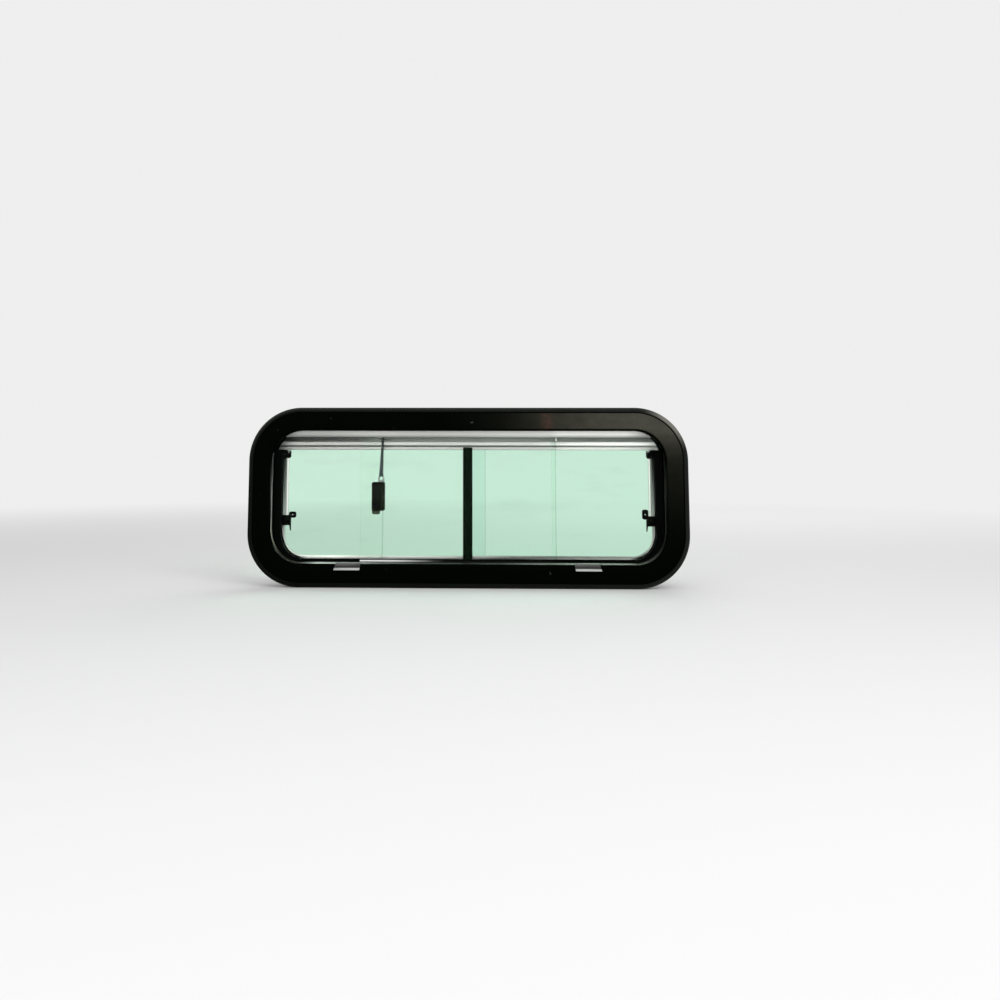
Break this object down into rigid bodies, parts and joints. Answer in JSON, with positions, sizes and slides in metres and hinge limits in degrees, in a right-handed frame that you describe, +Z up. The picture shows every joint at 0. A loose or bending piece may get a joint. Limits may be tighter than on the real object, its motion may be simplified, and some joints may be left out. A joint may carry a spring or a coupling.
{
  "type": "sliding caravan window",
  "caption": "Caravan side window: black flanged frame, sliding front glass between fixed panes, inner panes with a centre mullion, stays, rails and a clamping ring.",
  "frame": {"origin": "on the back face of the flange, in the middle of its bottom run", "axes": "+X to the right as seen from outside, +Y into the vehicle, normal to the wall, +Z up"},
  "size_m": [0.766, 0.0706, 0.3101],
  "materials": {
    "frame_black": "matt black powder coat",
    "rim_rubber": "dusty black rubber",
    "gasket_foam": "closed-cell foam",
    "liner_silver": "bright drawn aluminium",
    "channel_black": "black glazing rubber",
    "pane_tinted": "green tinted toughened glass",
    "inner_clear": "lightly tinted glass",
    "rail_silver": "satin silver aluminium",
    "inner_black": "satin black paint",
    "rim_silver": "satin silver aluminium",
    "mullion_black": "satin black paint",
    "bead_rubber": "black rubber",
    "latch_plastic": "black moulded plastic",
    "latch_lever_plastic": "dark olive grey plastic",
    "loop_plastic": "grey moulded plastic",
    "strap_webbing": "grey woven webbing",
    "screw_steel": "zinc plated screws and pin",
    "stay_plastic": "black moulded plastic",
    "stay_tube": "bright polished tube",
    "hood_silver": "pressed bright aluminium",
    "clamp_black": "satin black paint"
  },
  "bodies": {
    "root": {"centre_mullion": "mullion_black", "clamp_collar": "clamp_black", "clamp_ring": "clamp_black", "frame_reveal": "frame_black", "glazing_channel": "channel_black", "head_channel": "channel_black", "head_rail": "rail_silver", "head_web": "rail_silver", "inner_bead": "bead_rubber", "inner_frame": "inner_black", "inner_left_pane": "inner_clear", "inner_right_pane": "inner_clear", "inner_rim": "rim_silver", "latch_clip": "latch_plastic", "latch_lever": "latch_lever_plastic", "latch_loop": "loop_plastic", "latch_strap": "strap_webbing", "left_drip_hood": "hood_silver", "left_fixed_pane": "pane_tinted", "left_stay_cap": "stay_plastic", "left_stay_clamp": "stay_plastic", "left_stay_knob": "stay_plastic", "left_stay_tube": "stay_tube", "lower_rail": "rail_silver", "middle_rail": "rail_silver", "outer_frame": "frame_black", "right_drip_hood": "hood_silver", "right_fixed_pane": "pane_tinted", "right_stay_cap": "stay_plastic", "right_stay_clamp": "stay_plastic", "right_stay_knob": "stay_plastic", "right_stay_tube": "stay_tube", "rim_seal": "rim_rubber", "sill_liner": "liner_silver", "sliding_pane": "pane_tinted", "sliding_shoe": "rail_silver", "wall_gasket": "gasket_foam"}
  },
  "joints": []
}
